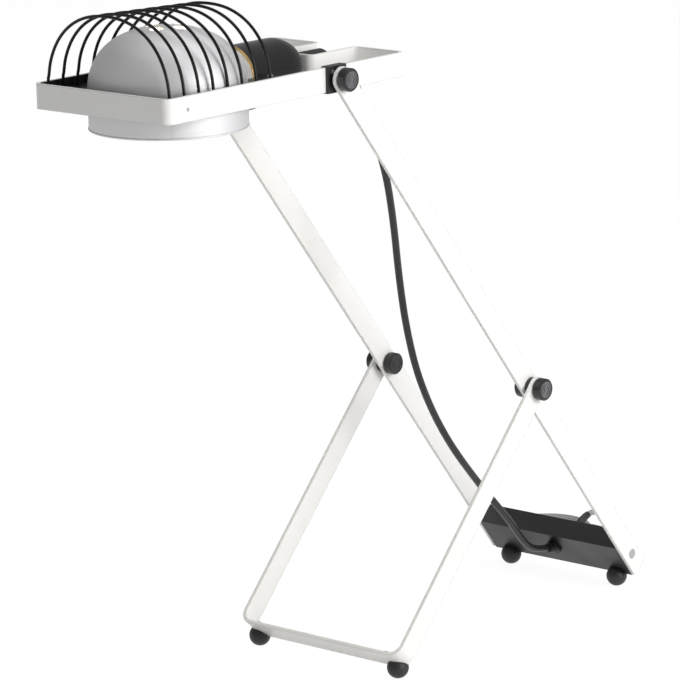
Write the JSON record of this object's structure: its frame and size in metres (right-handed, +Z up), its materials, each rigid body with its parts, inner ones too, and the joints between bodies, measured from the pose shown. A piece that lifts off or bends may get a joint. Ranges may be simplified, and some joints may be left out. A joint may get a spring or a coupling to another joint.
{
  "type": "folding desk lamp",
  "caption": "Folding desk lamp: flat-bar A-frame stand on ball feet, level head frame with a spun reflector under a wire guard, weighted base box.",
  "frame": {"origin": "under the middle of the lamp, its lead and plug left out, on the plane of its feet", "axes": "+X to the lamp's right, along the pivots; -Y to the front, where the head points; +Z up"},
  "size_m": [0.2277, 0.7147, 0.5792],
  "materials": {
    "cream_paint": "satin stove enamel",
    "black_paint": "satin black enamel",
    "aluminium": "spun, finely brushed",
    "dark_wire": "thin dark lacquer on steel wire",
    "brass": "polished",
    "black_gloss": "moulded, glossy",
    "ceramic": "unglazed porcelain",
    "steel": "plated",
    "iron": "as cast",
    "rubber": "matt black",
    "flex": "black sheath",
    "lead": "grey sheath",
    "plug": "moulded",
    "glass": "frosted",
    "terminal": "natural"
  },
  "bodies": {
    "stand": {"long_bar_right": "cream_paint", "long_bar_left": "cream_paint", "base_housing": "black_paint", "base_cover": "black_paint", "ballast_blocks": "iron", "terminal_block": "terminal", "base_screws": "steel", "rear_foot_right": "rubber", "rear_foot_left": "rubber", "middle_bolts": "steel", "inner_caps": "black_gloss", "flex_grommet": "rubber", "lead_gland": "rubber", "flex_lower": "flex", "mains_lead": "lead", "lead_coil": "lead", "plug_body": "plug", "plug_pins": "brass"},
    "front_leg": {"front_leg": "cream_paint", "foot_screws": "steel", "front_foot_right": "rubber", "front_foot_left": "rubber", "leg_spacers": "black_gloss"},
    "head": {"head_frame": "cream_paint", "tray": "black_paint", "tray_rivets": "steel", "reflector": "aluminium", "brass_ring": "brass", "holder_cover": "black_gloss", "holder_cap": "black_gloss", "holder_insert": "ceramic", "screw_shell": "brass", "bulb_glass": "glass", "bulb_cap": "aluminium", "holder_saddle": "black_paint", "saddle_screws": "steel", "flex_boot": "rubber", "flex_upper": "flex", "guard_wire_1": "dark_wire", "guard_wire_2": "dark_wire", "guard_wire_3": "dark_wire", "guard_wire_4": "dark_wire", "guard_wire_5": "dark_wire", "guard_wire_6": "dark_wire", "guard_wire_7": "dark_wire", "guard_wire_8": "dark_wire", "clip_screws": "steel", "head_studs": "steel", "strip_clip_right": "black_paint", "strip_clip_left": "black_paint"},
    "head_knob_right": {"head_knob_right": "black_gloss", "head_knob_face_right": "aluminium"},
    "head_knob_left": {"head_knob_left": "black_gloss", "head_knob_face_left": "aluminium"},
    "leg_knob_right": {"leg_knob_right": "black_gloss", "leg_knob_face_right": "aluminium"},
    "leg_knob_left": {"leg_knob_left": "black_gloss", "leg_knob_face_left": "aluminium"}
  },
  "joints": [
    {"name": "leg_swing", "type": "hinge", "parent": "stand", "child": "front_leg", "pos_m": [0, 0.13477, 0.21345], "axis": [1, 0, 0], "range_deg": [-8, 81.6]},
    {"name": "head_tilt", "type": "hinge", "parent": "stand", "child": "head", "pos_m": [0, -0.10127, 0.51126], "axis": [1, 0, 0], "range_deg": [-40, 128]},
    {"name": "head_knob_turn_right", "type": "hinge", "parent": "head", "child": "head_knob_right", "pos_m": [0, -0.10127, 0.51126], "axis": [1, 0, 0], "continuous": true},
    {"name": "head_knob_turn_left", "type": "hinge", "parent": "head", "child": "head_knob_left", "pos_m": [0, -0.10127, 0.51126], "axis": [-1, 0, 0], "continuous": true},
    {"name": "leg_knob_turn_right", "type": "hinge", "parent": "stand", "child": "leg_knob_right", "pos_m": [0, 0.13477, 0.21345], "axis": [1, 0, 0], "continuous": true},
    {"name": "leg_knob_turn_left", "type": "hinge", "parent": "stand", "child": "leg_knob_left", "pos_m": [0, 0.13477, 0.21345], "axis": [-1, 0, 0], "continuous": true}
  ]
}
